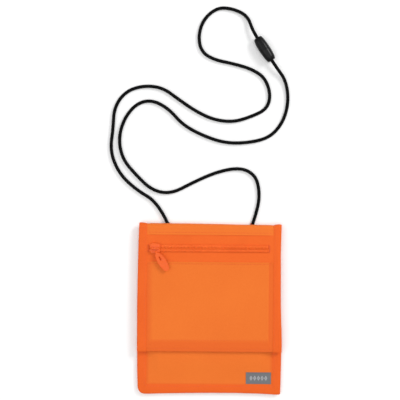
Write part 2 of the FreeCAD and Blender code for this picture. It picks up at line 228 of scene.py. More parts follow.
def meshPiece(name, vertices, faces, uvs=None):
    mesh = bpy.data.meshes.new(name)
    mesh.from_pydata(vertices, [], faces)
    if uvs:
        layer = mesh.uv_layers.new(name="UVMap")
        for polygon in mesh.polygons:
            for corner, uv in zip(polygon.loop_indices, uvs[polygon.index]):
                layer.data[corner].uv = uv
    return newObject(name, mesh)


def addCurve(name, points, resolution):
    # a smooth line from the first point to the last, drawn along by the ones between
    curve = bpy.data.curves.new(name, "CURVE")
    curve.dimensions = "3D"
    spline = curve.splines.new("NURBS")
    spline.points.add(len(points) - 1)
    for point, spot in zip(spline.points, points):
        point.co = (*(c * mm for c in spot), 1)
    spline.order_u = 3
    spline.use_endpoint_u = True
    spline.resolution_u = resolution
    return newObject(name, curve)


def standing(x, y, z, turn=0.0):
    # a placement upright at a point, turned about its own Z
    return Matrix.Translation(Vector((x, y, z)) * mm) @ Matrix.Rotation(turn, 4, "Z")


def scatter(name, model, places):
    # copies of one small model, all in one piece, and the model goes
    points = np.array([v.co for v in model.data.vertices])
    faces = [tuple(p.vertices) for p in model.data.polygons]
    made, joined = [], []
    for number, place in enumerate(places):
        turn = np.array(place.to_3x3())
        made.append(points @ turn.T + np.array(place.translation))
        first = number * len(points)
        joined += [tuple(first + k for k in face) for face in faces]
    piece = meshPiece(name, np.concatenate(made).tolist(), joined)
    bpy.data.objects.remove(model)
    smooth(piece, 60)
    return piece


def axes(centre, along, up):
    # a placement whose X runs along and whose Z is as near up as it can be; centre in mm
    x = Vector(along).normalized()
    y = Vector(up).cross(x).normalized()
    z = x.cross(y)
    turn = Matrix((x, y, z)).transposed().to_4x4()
    return Matrix.Translation(Vector(centre) * mm) @ turn


def ease(distance, run):
    t = min(max(distance / run, 0.0), 1.0)
    return t * t * (3 - 2 * t)


def ripple(x, y, scale, seed):
    return noise.noise(Vector((x / scale, y / scale, seed)))


# finishes

class Wire:
    # one socket of a finish, so that a sum on it can be written out
    def __init__(self, finish, socket):
        self.finish = finish
        self.socket = socket

    def __rsub__(self, other):
        return self.finish.node("ShaderNodeMath", {"operation": "SUBTRACT"}, (other, self))


def workOut(operation):
    return lambda wire, *others: wire.finish.node("ShaderNodeMath", {"operation": operation},
                                                  (wire, *others))


for word, operation in (("__add__", "ADD"), ("__radd__", "ADD"), ("__sub__", "SUBTRACT"),
                        ("__mul__", "MULTIPLY"), ("__rmul__", "MULTIPLY"), ("sine", "SINE"),
                        ("size", "ABSOLUTE"), ("part", "FRACT"), ("above", "GREATER_THAN"),
                        ("below", "LESS_THAN"), ("least", "MINIMUM"), ("most", "MAXIMUM")):
    setattr(Wire, word, workOut(operation))


class Finish:
    def __init__(self, name, specular, sheen=0.0, sheenRough=0.4):
        self.material = bpy.data.materials.new(name)
        self.material.use_nodes = True
        self.tree = self.material.node_tree
        self.shader = self.tree.nodes["Principled BSDF"]
        for key, value in (("Specular IOR Level", specular), ("Sheen Weight", sheen),
                           ("Sheen Roughness", sheenRough), ("Coat Roughness", 0.12)):
            self.set(key, value)

    def node(self, kind, settings, inputs=(), output=0):
        made = self.tree.nodes.new(kind)
        for key, value in settings.items():
            setattr(made, key, value)
        pairs = inputs.items() if isinstance(inputs, dict) else enumerate(inputs)
        for key, value in pairs:
            self.feed(made.inputs[key], value)
        return Wire(self, made.outputs[output])

    def feed(self, socket, value):
        if isinstance(value, Wire):
            self.tree.links.new(value.socket, socket)
        else:
            socket.default_value = value

    def set(self, key, value):
        self.feed(self.shader.inputs[key], value)

    def mix(self, factor, first, second):
        return self.node("ShaderNodeMix", {"data_type": "RGBA"},
                         {0: factor, 6: first, 7: second}, 2)

    def shade(self, amount, look):
        # from the look's own colour, at 0, to its deep one, at 1
        return self.mix(amount.most(0).least(1), linear(*look["colour"]), linear(*look["deep"]))

    def place(self):
        # the piece's own flat map, in metres along and across
        made = self.tree.nodes.new("ShaderNodeSeparateXYZ")
        self.feed(made.inputs[0], self.node("ShaderNodeUVMap", {"uv_map": "UVMap"}))
        return [Wire(self, made.outputs[k]) for k in (0, 1)]

    def noise(self, scale):
        spot = self.node("ShaderNodeTexCoord", {}, (), 3)
        return self.node("ShaderNodeTexNoise", {}, {"Vector": spot, "Scale": scale,
                                                    "Detail": 2.0})

    def done(self, colour, roughness, height=None, strength=0.5, depth=0.0):
        # depth is how deep the relief is, in millimetres
        self.set("Base Color", colour)
        self.set("Roughness", roughness)
        if depth:
            self.set("Normal", self.node("ShaderNodeBump", {}, {
                "Strength": strength, "Distance": depth * mm, "Height": height}))
        return self.material


def turns(pitch):
    # how fast a wave runs for one crest in each pitch, in millimetres
    return 2 * math.pi / (pitch * mm)


# the third colour of each cloth is partly the deeper tone where the cloth lies double and partly
# painted shade, where a panel slopes down to its seams and along the flap's crease
fabrics = {
    "shellNylon": {"colour": (231, 115, 39), "deep": (216, 93, 26), "doubledAndShade": (224, 98, 32),
                   "yarn": 0.9, "relief": 0.10, "rough": 0.62, "sheen": 0.08, "uneven": 0.25},
    "pocketLining": {"colour": (226, 104, 34), "deep": (206, 82, 24), "doubledAndShade": (216, 92, 28),
                     "yarn": 0.5, "relief": 0.04, "rough": 0.5, "sheen": 0.08, "uneven": 0.2},
}


def wovenFinish(name):
    # plain weave: warp and weft pass over each other in turn
    look = fabrics[name]
    finish = Finish(name, 0.16, look["sheen"])
    along, across = finish.place()
    doubledAndShade = finish.node("ShaderNodeAttribute", {"attribute_name": "doubledAndShade"}, (), 2)
    warp = (along * turns(look["yarn"])).sine()
    weft = (across * turns(look["yarn"])).sine()
    weave = warp * weft * 0.5 + 0.5
    cloudy = finish.noise(22.0)
    slub = finish.noise(700.0)
    shade = (1 - weave) * 0.30 + (cloudy - 0.5) * look["uneven"] * 2 + (slub - 0.5) * 0.3
    # the cloth is mixed towards its third colour where it lies double, and where shade is painted
    # beside the seams and along the crease
    colour = finish.mix(doubledAndShade, finish.shade(shade, look), linear(*look["doubledAndShade"]))
    return finish.done(colour, slub * 0.12 + (look["rough"] - 0.06), weave + slub * 0.5,
                       depth=look["relief"])


tapes = {
    "bindingTape": {"colour": (232, 98, 25), "deep": (214, 78, 16), "rib": 0.85, "relief": 0.12,
                    "rough": 0.58},
    "zipTape": {"colour": (233, 101, 29), "deep": (214, 82, 18), "rib": 1.0, "relief": 0.08,
                "rough": 0.62, "zigzag": 2.6},
}


def ribbedFinish(name):
    # a tape's ribs run across it; on the zip's tape they slant, in a herringbone
    look = tapes[name]
    finish = Finish(name, 0.2, 0.06)
    along, across = finish.place()
    if "zigzag" in look:
        wide = look["zigzag"] * mm
        fold = ((across * (1 / wide)).part() - 0.5).size() * wide
        rib = ((along + fold) * turns(look["rib"])).sine() * 0.5 + 0.5
    else:
        rib = (along * turns(look["rib"])).sine() * 0.5 + 0.5
    yarn = (across * turns(0.35)).sine() * 0.5 + 0.5
    cloudy = finish.noise(40.0)
    fibre = finish.noise(900.0)
    shade = (1 - rib) * 0.35 + (cloudy - 0.5) * 0.5 + (fibre - 0.5) * 0.3
    return finish.done(finish.shade(shade, look), fibre * 0.14 + (look["rough"] - 0.07),
                       rib + yarn * 0.3, depth=look["relief"])


solids = {
    "sewingThread": {"colour": (228, 94, 26), "deep": (208, 74, 18), "rough": 0.5,
                     "grain": 1500, "relief": 0.03, "spec": 0.4},
    "greyThread": {"colour": (104, 105, 108), "deep": (76, 77, 80), "rough": 0.5,
                   "grain": 1500, "relief": 0.03, "spec": 0.4},
    "coilNylon": {"colour": (244, 112, 38), "deep": (230, 94, 26), "rough": 0.5,
                  "grain": 300, "relief": 0.01, "spec": 0.25},
    "hookNylon": {"colour": (234, 102, 34), "deep": (222, 90, 28), "rough": 0.48,
                  "grain": 600, "relief": 0.03, "spec": 0.4},
    "orangeLacquer": {"colour": (234, 96, 24), "deep": (222, 80, 17), "rough": 0.4,
                      "grain": 180, "relief": 0.015, "coat": 0.08, "spec": 0.22},
    "claspPlastic": {"colour": (7, 7, 8), "deep": (3, 3, 3), "rough": 0.3, "grain": 260,
                     "relief": 0.012, "coat": 0.03, "spec": 0.17},
}


def solidFinish(name):
    # thread, nylon, lacquer or plastic: slow changes of shade under a fine grain
    look = solids[name]
    finish = Finish(name, look["spec"])
    cloudy, grain = finish.noise(60.0), finish.noise(look["grain"] * 4.0)
    shade = (cloudy - 0.5) * 1.2 + grain * 0.5
    finish.set("Coat Weight", look.get("coat", 0.0))
    return finish.done(finish.shade(shade, look), grain * 0.16 + (look["rough"] - 0.08), grain,
                       0.4, look["relief"])


print("finishes are ready")


# the cord: two strands from the pouch to the clasp

cordLook = {"diameter": 3.0, "strands": 8, "cell": 1.5, "relief": 0.10, "ringStep": 0.42,
            "sides": 32, "width": 3.14, "colour": (9, 9, 10), "deep": (2, 2, 2)}
foldTop = 77.5


def lying(*spots):
    # the part of a route where the cord lies on the ground
    return [(x, above, cordLook["diameter"] / 2) for x, above in spots]


# across, above the top fold and, where it is lifted, the height of its middle
leftRoute = lying(
    (-38.1, -3.2), (-47.4, 18.2), (-70.0, 31.4), (-85.2, 46.4), (-93.0, 66.4), (-90.4, 87.0),
    (-89.6, 106.0), (-79.6, 120.8), (-63.4, 126.6), (-45.4, 125.0), (-30.6, 114.4),
    (-14.8, 103.6), (2.0, 95.6), (20.4, 93.6), (37.2, 99.0), (51.0, 105.8), (54.6, 118.4),
    (49.6, 134.2), (37.4, 142.4), (20.0, 147.4), (1.6, 151.0), (-9.8, 158.4), (-12.6, 172.6),
    (-8.2, 187.6), (4.0, 198.8), (18.2, 198.4)
) + [(32.6, 191.8, 1.9), (37.35, 177.3, 5.2), (42.3, 169.8, 5.2)]
rightRoute = lying(
    (37.8, -3.2), (43.0, 12.0), (45.2, 28.0), (41.6, 44.4), (28.0, 51.8), (7.0, 48.2),
    (-14.8, 38.6), (-36.4, 27.0), (-54.0, 30.0), (-69.4, 44.6), (-81.6, 59.0), (-85.4, 77.6),
    (-80.2, 96.4), (-68.6, 110.4), (-54.6, 113.4), (-39.2, 105.4), (-26.6, 91.0), (-8.4, 81.2),
    (12.6, 74.2), (34.4, 74.6), (54.4, 79.8), (66.4, 94.2), (71.2, 113.4)
) + [(68.4, 132.4, 1.9), (59.35, 143.9, 5.2), (54.4, 151.4, 5.2)]


def splineThrough(name, route):
    line = addCurve(name, [(x, foldTop + above, z) for x, above, z in route], 16)
    bpy.context.view_layer.update()
    mesh = bpy.data.meshes.new_from_object(line)
    path = [v.co.copy() for v in mesh.vertices]
    bpy.data.meshes.remove(mesh)
    bpy.data.objects.remove(line)
    return path


def runAlong(points):
    # how far along a line each of its points lies
    runs = [0.0]
    for before, after in zip(points, points[1:]):
        runs.append(runs[-1] + (Vector(after) - Vector(before)).length)
    return runs


def evenly(path, step):
    # the same line, with points at even steps
    ends = runAlong(path)
    count = max(2, round(ends[-1] / step))
    made, run = [], 0
    for number in range(count + 1):
        want = ends[-1] * number / count
        while run < len(path) - 2 and ends[run + 1] < want:
            run += 1
        share = (want - ends[run]) / max(ends[run + 1] - ends[run], 1e-9)
        made.append(path[run].lerp(path[run + 1], min(max(share, 0), 1)))
    return made, ends[-1]


def braid(angle, along):
    # how far the cover stands out, from 0 between its strands to 1 on them
    first = cordLook["strands"] * angle / (2 * math.pi) + along / cordLook["cell"]
    second = cordLook["strands"] * angle / (2 * math.pi) - along / cordLook["cell"]
    return math.sqrt(abs(math.sin(math.pi * first) * math.sin(math.pi * second)))


def addBraid(name, path, width, height, step=None):
    # a braided cover round the path, as wide and high as it is told
    middle, length = evenly(path, (step or cordLook["ringStep"]) * mm)
    sides = cordLook["sides"]
    vertices, faces, uvs = [], [], []
    for number, centre in enumerate(middle):
        before, after = middle[max(number - 1, 0)], middle[min(number + 1, len(middle) - 1)]
        along = (after - before).normalized()
        side = along.cross(Vector((0, 0, 1))).normalized()
        up = side.cross(along)
        travelled = length * number / (len(middle) - 1) / mm
        for k in range(sides):
            angle = 2 * math.pi * k / sides
            stand = 1 - cordLook["relief"] * (1 - braid(angle, travelled))
            spot = side * (math.cos(angle) * width / 2) + up * (math.sin(angle) * height / 2)
            vertices.append(centre + spot * (stand * mm))
        if number:
            here, last = number * sides, (number - 1) * sides
            begin = travelled - length / (len(middle) - 1) / mm
            for k in range(sides):
                after = (k + 1) % sides
                faces.append((last + k, here + k, here + after, last + after))
                low, high = k / sides, (k + 1) / sides
                uvs.append(((begin * mm, low), (travelled * mm, low), (travelled * mm, high),
                            (begin * mm, high)))
    first, last = len(vertices), len(vertices) + 1
    vertices += [middle[0], middle[-1]]
    end = (len(middle) - 1) * sides
    for k in range(sides):
        after = (k + 1) % sides
        faces += [(first, k, after), (last, end + after, end + k)]
        uvs += [((0, 0),) * 3, ((length, 0),) * 3]
    piece = meshPiece(name, [tuple(v) for v in vertices], faces, uvs)
    smooth(piece, 60)
    return piece, [tuple(p) for p in middle]


def braidFinish():
    finish = Finish("braidedCord", 0.07)
    along, aroundIt = finish.place()
    turn = aroundIt * (math.pi * cordLook["strands"])
    lay = along * (math.pi / (cordLook["cell"] * mm))
    cover = ((turn + lay).sine() * (turn - lay).sine()).size()
    fibre = finish.noise(1400.0)
    shade = (1 - cover) * 0.7 + (fibre - 0.5) * 0.6
    return finish.done(finish.shade(shade, cordLook), fibre * 0.2 + 0.5, fibre + cover, 0.4, 0.05)


cordFinish = braidFinish()
(leftCord, leftPath), (rightCord, rightPath) = [
    addBraid(side + "Cord", splineThrough(side + "Line", route), cordLook["width"],
             cordLook["width"]) for side, route in (("left", leftRoute), ("right", rightRoute))]
dress(leftCord, cordFinish, None, ("left_strand", "left_strand_end"))
dress(rightCord, cordFinish, "root", ("right_strand",))
print("cord strands are laid")
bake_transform(leftCord)


# the pouch's fabric

pouch = {"half": 65.0, "bottom": -77.5, "foldStart": 73.5, "leftCorner": 6.0, "rightCorner": 1.5,
         "inset": 0.7, "binding": 7.0, "fabric": 0.4, "lining": 0.25, "seamRise": 2.4,
         "sideSlope": 12.0, "frontSlope": 25.0, "grid": 1.0, "sag": 0.22, "pucker": 0.07,
         "crease": 54.7, "hemTop": -32.0}
foldStart = pouch["foldStart"]
innerX = pouch["half"] - pouch["binding"]
innerY = pouch["bottom"] + pouch["binding"]
sewnLow = pouch["bottom"] + pouch["inset"]
frontTop = boxOf("front_panel")[1][2]  # the front's outer face in the middle
frontMouth = boxOf("front_panel")[1][1]
flapTopZ = boxOf("flap_panel")[1][2]
flapEdge = boxOf("flap_panel")[0][1]
zipUpper, zipLower = boxOf("zip_tape_upper"), boxOf("zip_tape_lower")
zipMiddle = (zipUpper[0][1] + zipLower[1][1]) / 2

shellFinish = wovenFinish("shellNylon")
liningFinish = wovenFinish("pocketLining")
tapeFinish = ribbedFinish("bindingTape")
zipTapeFinish = ribbedFinish("zipTape")
threadFinish = solidFinish("sewingThread")


def inCorner(x, y):
    # draws a point near a bottom corner in, to stay inside the rounded outline
    for side, radius in ((-1, pouch["leftCorner"]), (1, pouch["rightCorner"])):
        radius = max(radius - pouch["inset"], 0.5)
        middle = side * (pouch["half"] - pouch["inset"] - radius)
        level = sewnLow + radius
        out, down = (x - middle) * side, level - y
        if out > 0 and down > 0:
            share = max(out, down) / math.hypot(out, down)
            return middle + side * out * share, level - down * share
    return x, y


def puff(x, y, sideRun, bottomRun):
    # 0 at the seams and 1 in the middle
    return ease(innerX - abs(x), sideRun) * ease(y - innerY, bottomRun)


def seamPucker(x, y):
    # small puckers that die away from the side seams
    near = math.exp(-max(innerX - abs(x), 0) / 4.5)
    return pouch["pucker"] * near * (math.sin(y * 1.15 + 2.0 * ripple(x, y, 9, 4)) + 0.4)


def backLevel(x, y):
    inside = puff(x, y, pouch["sideSlope"], pouch["sideSlope"])
    return pouch["seamRise"] * (1 - inside) + 0.10 * inside * max(ripple(x, y, 42, 1), 0)


def frontLevel(x, y):
    inside = puff(x, y, pouch["sideSlope"], pouch["frontSlope"])
    seam = pouch["seamRise"] + pouch["fabric"] * 2 + pouch["lining"]
    sag = pouch["sag"] * inside * (ripple(x, y, 36, 2) - 0.3)
    return seam + (frontTop - seam) * inside + sag + seamPucker(x, y)


flap = {"sideDrop": 0.42, "sideRun": 6.5, "hemDrop": 0.30, "hemRun": 5.0, "softRun": 20,
        "waves": 0.16, "creaseDeep": 0.16, "creaseWide": 0.7, "creaseTop": 68}


def flapLevel(x, y):
    sides = 1 - ease(innerX + 0.5 - abs(x), flap["sideRun"])
    hem = 1 - ease(y - flapEdge, flap["hemRun"])
    middle = ease(innerX - abs(x), flap["softRun"]) * ease(y - flapEdge, flap["softRun"])
    crease = math.exp(-((x - pouch["crease"]) / flap["creaseWide"]) ** 2)
    soft = flap["waves"] * middle * ripple(x, y, 34, 3)
    soft -= flap["creaseDeep"] * crease * ease(flap["creaseTop"] - y, 4)
    return (flapTopZ - flap["sideDrop"] * sides - flap["hemDrop"] * hem + soft
            + seamPucker(x, y) * 0.8)


def acrossPouch(u):
    return (2 * u - 1) * (pouch["half"] - pouch["inset"])


def frontDoubledAndShade(x, y):
    # the seam allowance shows as a deeper band beside the binding and along the hem at the mouth;
    # beside the binding the band is also painted shade, where the panel slopes down to the seam
    sides = 1 - ease(innerX - abs(x), 3.5)
    return max(sides, 0.8 * (1 - ease(y - innerY, 2.0)), 0.5 * ease(y - frontMouth + 8, 1.0))


def flapDoubledAndShade(x, y):
    # the inside seam at each side, and the hem that carries the hook strip; at the left the band
    # is also painted shade where the panel slopes down to the binding
    left = 1 - ease(x + innerX, 7.0)
    right = ease(x - pouch["crease"] + 0.4, 0.8)
    # a painted dark line of shade along the crease beside the right binding
    line = math.exp(-((x - pouch["crease"]) / 0.45) ** 2)
    return max(left, 0.9 * right, 1.6 * line, 0.95 * (1 - ease(y - pouch["hemTop"], 4.5)))


def shellPanel(name, bottom, top, level, thickness, edgeLift=0.0, doubledAndShade=None, lower=False):
    # one flat-cut panel, puffed and puckered; a free edge can lie on what is under it
    def place(u, v):
        x, y = acrossPouch(u), bottom + (top - bottom) * v
        lift = edgeLift * (1 - ease(y - bottom if lower else top - y, 2.2))
        px, py = inCorner(x, y)
        return (px, py, level(px, py) + lift), (x, y), doubledAndShade(px, py) if doubledAndShade else 0.0

    columns = round(2 * acrossPouch(1) / pouch["grid"])
    return addSheet(name, columns, max(4, round((top - bottom) / pouch["grid"])), place,
                    thickness)


def addPanel(name, finish, slot, body, node, *cut):
    return dress(shellPanel(name, *cut), finish, body, (node,))


backShell = addPanel(
    "backShell", shellFinish, "shell_nylon", "root", "back_panel", sewnLow, foldStart,
    lambda x, y: backLevel(x, y) + pouch["fabric"], pouch["fabric"])
backLining = addPanel(
    "backLining", liningFinish, "lining_fabric", "root", "back_lining", sewnLow,
    foldStart, lambda x, y: backLevel(x, y) + pouch["fabric"] + pouch["lining"],
    pouch["lining"] - 0.02)
frontShell = addPanel(
    "frontShell", shellFinish, "shell_nylon", "root", "front_panel", sewnLow, frontMouth,
    frontLevel, pouch["fabric"], 0.25, frontDoubledAndShade)
flapLining = addPanel(
    "flapLining", liningFinish, "lining_fabric", "flap", "flap_lining", flapEdge + 1.0,
    foldStart, lambda x, y: boxOf("flap_lining")[1][2], pouch["lining"])
flapTop = addPanel(
    "flapTopStrip", shellFinish, "shell_nylon", "flap", "flap_top_strip", zipUpper[1][1] - 0.6,
    foldStart, flapLevel, pouch["fabric"], 0.30, None, True)

hem = {"roll": 0.74, "tuck": 1.2, "upperEdge": zipLower[0][1] + 0.6}


def flapPanelPlace(u, v):
    # down the outside of the flap, round its bottom edge and a little way back up inside
    x = acrossPouch(u)
    run = hem["upperEdge"] - (flapEdge + hem["roll"])
    turn = math.pi * hem["roll"]
    travel = v * (run + turn + hem["tuck"])
    if travel <= run:
        y = hem["upperEdge"] - travel
        z = flapLevel(x, y) + 0.30 * (1 - ease(travel, 2.2))
    elif travel <= run + turn:
        angle = (travel - run) / hem["roll"]
        y = flapEdge + hem["roll"] * (1 - math.sin(angle))
        z = flapLevel(x, flapEdge) - hem["roll"] * (1 - math.cos(angle))
    else:
        y = flapEdge + hem["roll"] + travel - run - turn
        z = flapLevel(x, flapEdge) - 2 * hem["roll"]
    return (x, y, z), (x, -travel), flapDoubledAndShade(x, y)


flapPanel = addSheet("flapPanel", 130, 200, flapPanelPlace, pouch["fabric"], 1.0)
edit(flapPanel)
faceOut()
dress(flapPanel, shellFinish, "flap", ("flap_panel",))
print("panels are cut and puffed")


# the top fold, from the back round to the flap

fold = {"depth": 4.0, "rows": 26, "columns": 90, "slotRadius": 1.7, "blendFrom": 1.6,
        "blendTo": 8.0}


def foldPlace(u, v):
    x = acrossPouch(u)
    low, high = backLevel(x, foldStart), flapLevel(x, foldStart)
    angle = math.pi * (0.5 - v)
    middle, half = (low + high) / 2, (high - low) / 2
    tuck = 0.4 * (1 - ease(innerX + 1 - abs(x), 5)) + 0.25 * ripple(x, 0, 26, 7)
    y = foldStart + (fold["depth"] - tuck) * math.cos(angle)
    return (x, y, middle + half * math.sin(angle)), (x, foldStart + 9 * v)


topFold = addSheet("topFold", fold["columns"], fold["rows"], foldPlace, pouch["fabric"])
for name, route in (("leftSlot", leftRoute), ("rightSlot", rightRoute)):
    start = Vector((route[0][0], foldTop + route[0][1], route[0][2]))
    after = Vector((route[1][0], foldTop + route[1][1], route[1][2]))
    along = (after - start).normalized()
    cutter = newPrimitive(name, bpy.ops.mesh.primitive_cylinder_add, vertices=24,
                          radius=fold["slotRadius"] * mm, depth=12 * mm,
                          location=(start + along * 3) * mm,
                          rotation=along.to_track_quat("Z", "Y").to_euler())
    useModifier(topFold, "BOOLEAN", operation="DIFFERENCE", object=cutter, solver="EXACT")
    bpy.data.objects.remove(cutter)
dress(topFold, shellFinish, None, ("top_fold",))
print("top fold is turned")


# binding tape round the edges

binding = {"tape": 0.34, "bodyMiddle": 2.925, "bodyHalf": 0.925, "flapMiddle": 7.40,
           "flapHalf": 0.98, "step": 1.2, "stitchIn": 5.6, "leftTip": 0.9, "rightTip": 0.35}
tapeShape = [(7.0, 0.73), (6.6, 0.84), (5.0, 0.98), (3.5, 1.0), (1.5, 0.9), (0.6, 0.71),
             (0.15, 0.4), (0.0, 0.0)]
tapeProfile = [(a, -h) for a, h in tapeShape] + tapeShape[-2::-1]
upward = Vector((0, 0, 1))


def addTape(name, stations):
    # a folded tape; a station is its edge, the way in, the way up, its half thickness and run
    last, across = len(stations) - 1, runAlong(tapeProfile)

    def place(u, v):
        edge, inward, up, half, run = stations[round(u * last)]
        number = round(v * (len(tapeProfile) - 1))
        a, h = tapeProfile[number]
        return tuple(edge + inward * a + up * (h * half)), (run, across[number])

    piece = addSheet(name, last, len(tapeProfile) - 1, place, binding["tape"])
    smooth(piece, 50)
    return piece


def straight(start, end):
    start, end = Vector(start), Vector(end)
    count = round((end - start).length / binding["step"])
    return [start.lerp(end, k / count) for k in range(count + 1)]


def corner(x, y, radius, first, steps):
    # a quarter turn from the first angle, in half turns
    angles = [math.pi * (first + k / (2 * steps)) for k in range(steps + 1)]
    return [(x + radius * math.cos(a), y + radius * math.sin(a)) for a in angles]


def bodyStations():
    # down the left side, along the bottom and up the right, round both corners
    left, right = pouch["leftCorner"], pouch["rightCorner"]
    low, half, high = pouch["bottom"], pouch["half"], foldStart
    line = straight((-half, high), (-half, low + left))[:-1]
    line += corner(left - half, low + left, left, 1, 8)
    line += straight((left - half, low), (half - right, low))[1:-1]
    line += corner(half - right, low + right, right, 1.5, 6)
    line += straight((half, low + right), (half, high))[1:]
    stations = []
    for (x, y), run in zip(line, runAlong(line)):
        inner = Vector((min(max(x, -innerX), innerX), max(y, innerY), 0))
        edge = Vector((x, y, 0))
        inward = (inner - edge) / pouch["binding"]
        edge.z = binding["bodyMiddle"] + 0.12 * ripple(x, y, 24, 11)
        stations.append((edge, inward, upward, binding["bodyHalf"], run))
    return stations


def flapStations(side):
    count = round((foldStart - flapEdge) / binding["step"])
    stations = []
    for k in range(count + 1):
        y = foldStart - (foldStart - flapEdge) * k / count
        closing = 0.55 + 0.45 * ease(y - flapEdge, 1.6)
        middle = binding["flapMiddle"] + 0.10 * ripple(side * 9, y, 24, 12)
        edge = Vector((side * pouch["half"], y, middle - 0.1 * (1 - ease(y - flapEdge, 4))))
        inward = Vector((-side, 0, 0))
        stations.append((edge, inward, upward, binding["flapHalf"] * closing, -y))
    return stations if side < 0 else stations[::-1]


def foldStations(side):
    low = binding["bodyMiddle"] - binding["bodyHalf"]
    high = binding["flapMiddle"] + binding["flapHalf"]
    middle, half = (low + high) / 2, (high - low) / 2
    tip = binding["leftTip"] if side < 0 else binding["rightTip"]
    outs = [Vector((0, math.cos(a), math.sin(a)))
            for a in [math.pi * (k / 24 - 0.5) for k in range(25)]]
    crests = [Vector((0, foldStart + fold["depth"] * out.y, middle + half * out.z))
              for out in outs]
    stations = []
    for k, (out, crest, run) in enumerate(zip(outs, crests, runAlong(crests))):
        normal = Vector((0, out.y / fold["depth"], out.z / half)).normalized()
        share = (k / 24) * binding["flapHalf"] + (1 - k / 24) * binding["bodyHalf"]
        edge = crest - normal * share + Vector((side * pouch["half"], 0, 0))
        peak = Vector((0, tip * out.y ** 2, 0))
        inward = Vector((-side, 0, 0)) - peak / pouch["binding"]
        stations.append((edge + peak, inward, normal, share, foldStart + run))
    return stations if side < 0 else stations[::-1]


bodyTape, leftFlap, rightFlap = bodyStations(), flapStations(-1), flapStations(1)
leftFold, rightFold = foldStations(-1), foldStations(1)
bound = {}
for name, stations, body, node in (
        ("bodyBinding", bodyTape, "root", "body_binding"),
        ("leftFlapBinding", leftFlap, "flap", "flap_left_binding"),
        ("rightFlapBinding", rightFlap, "flap", "flap_right_binding"),
        ("leftFoldBinding", leftFold, None, "left_fold_binding"),
        ("rightFoldBinding", rightFold, None, "right_fold_binding")):
    bound[name] = dress(addTape(name, stations), tapeFinish, body, (node,))
print("binding is folded round the edges")


# stitching

stitching = {"pitch": 3.0, "length": 2.5, "width": 0.42, "height": 0.30, "sunk": 0.03}


def stitchModel(length, width, height):
    model = newPrimitive("stitch", bpy.ops.mesh.primitive_uv_sphere_add, segments=6,
                         ring_count=4, radius=0.5, rotation=(0, math.pi / 2, 0))
    settle(model)
    model.scale = (length * mm, width * mm, height * mm)
    settle(model)
    return model


def alongLine(points, up, pitch=None):
    # a place for each stitch of a line; points in millimetres, up one way or one for each
    even, _ = evenly([Vector(p) for p in points], pitch or stitching["pitch"])
    ways = up if isinstance(up, list) else [Vector(up)] * len(points)
    made = []
    for before, after in zip(even, even[1:]):
        centre = (before + after) / 2
        near = min(range(len(points)), key=lambda k: (Vector(points[k]) - centre).length)
        made.append(axes(centre - ways[near] * stitching["sunk"], after - before, ways[near]))
    return made


def tapeLine(stations, face):
    # the sewn line on a tape, on its upper (1) or lower (-1) face
    points = [e + i * binding["stitchIn"] + u * (0.93 * h * face) for e, i, u, h, _ in stations]
    return alongLine(points, [u * face for _, _, u, _, _ in stations])


def levelLine(y, left, right, level):
    # a sewn line from side to side that follows the cloth
    count = max(2, round((right - left) / stitching["pitch"]))
    spots = [(left + (right - left) * k / count, y) for k in range(count + 1)]
    return alongLine([(x, y, level(x, y)) for x, y in spots], upward)


def sewn(name, places, model=None):
    return dress(scatter(name, model or stitchModel(stitching["length"], stitching["width"],
                                                    stitching["height"]), places),
                 threadFinish)


bodyStitches = sewn("bodyStitches", tapeLine(bodyTape, 1) + tapeLine(bodyTape, -1)
                    + levelLine(frontMouth - 4.6, -innerX + 1, innerX - 1, frontLevel))
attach(bodyStitches, "root")

reachX = innerX - 1.2
hooks = boxOf("hook_strip")
flapLines = [place for line in (leftFlap, rightFlap) for face in (1, -1)
             for place in tapeLine(line, face)]
for y, over in ((zipUpper[1][1] + 1.4, 0.1), (hem["upperEdge"] - 1.9, 0.1),
                (hooks[0][1] + 0.9, 0), (hooks[1][1] - 0.9, 0)):
    flapLines += levelLine(y, -reachX, reachX, lambda x, y: flapLevel(x, y) + over)
flapStitches = sewn("flapStitches", flapLines)
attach(flapStitches, "flap")
foldStitches = sewn("foldStitches", tapeLine(leftFold, 1) + tapeLine(rightFold, 1))
for piece in (topFold, bound["leftFoldBinding"], bound["rightFoldBinding"], foldStitches):
    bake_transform(piece)
print("seams are sewn")


# bent wires and cut plates, for the small parts
def bentWire(name, points, radius, resolution=2):
    wire = addCurve(name, points, resolution)
    wire.data.bevel_depth = radius * mm
    wire.data.bevel_resolution = 0
    wire.data.use_fill_caps = True
    pick(wire)
    bpy.ops.object.convert(target="MESH")
    return bpy.context.object


def raiseBy(height):
    bpy.ops.mesh.extrude_region_move(TRANSFORM_OT_translate={"value": (0, 0, height * mm)})


def cutPlate(name, outline, bottom, top, bevel=0.0, segments=3):
    # a flat outline, extruded up, with its edges eased
    plate = newPrimitive(name, bpy.ops.mesh.primitive_circle_add, vertices=len(outline),
                         radius=1, fill_type="NGON")
    for vertex, (x, y) in zip(plate.data.vertices, outline):
        vertex.co = Vector((x, y, bottom)) * mm
    edit(plate)
    bpy.ops.mesh.select_all(action="SELECT")
    raiseBy(top - bottom)
    faceOut()
    if bevel:
        useModifier(plate, "BEVEL", width=bevel * mm, segments=segments, limit_method="ANGLE",
                    angle_limit=math.radians(35))
    smooth(plate, 35)
    return plate


def easedBlock(name, low, high, bevel):
    return cutPlate(name, [(low[0], low[1]), (high[0], low[1]), (high[0], high[1]),
                           (low[0], high[1])], low[2], high[2], bevel)


def move(piece, turn=None, place=(0, 0, 0)):
    if turn:
        piece.rotation_mode = "QUATERNION"
        piece.rotation_quaternion = turn
    piece.location = Vector(place) * mm
    settle(piece)
    return piece


def refinish(node, finish):
    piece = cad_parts[node]
    if not piece.material_slots:
        piece.data.materials.append(finish)
    for slot in piece.material_slots:
        slot.material = finish


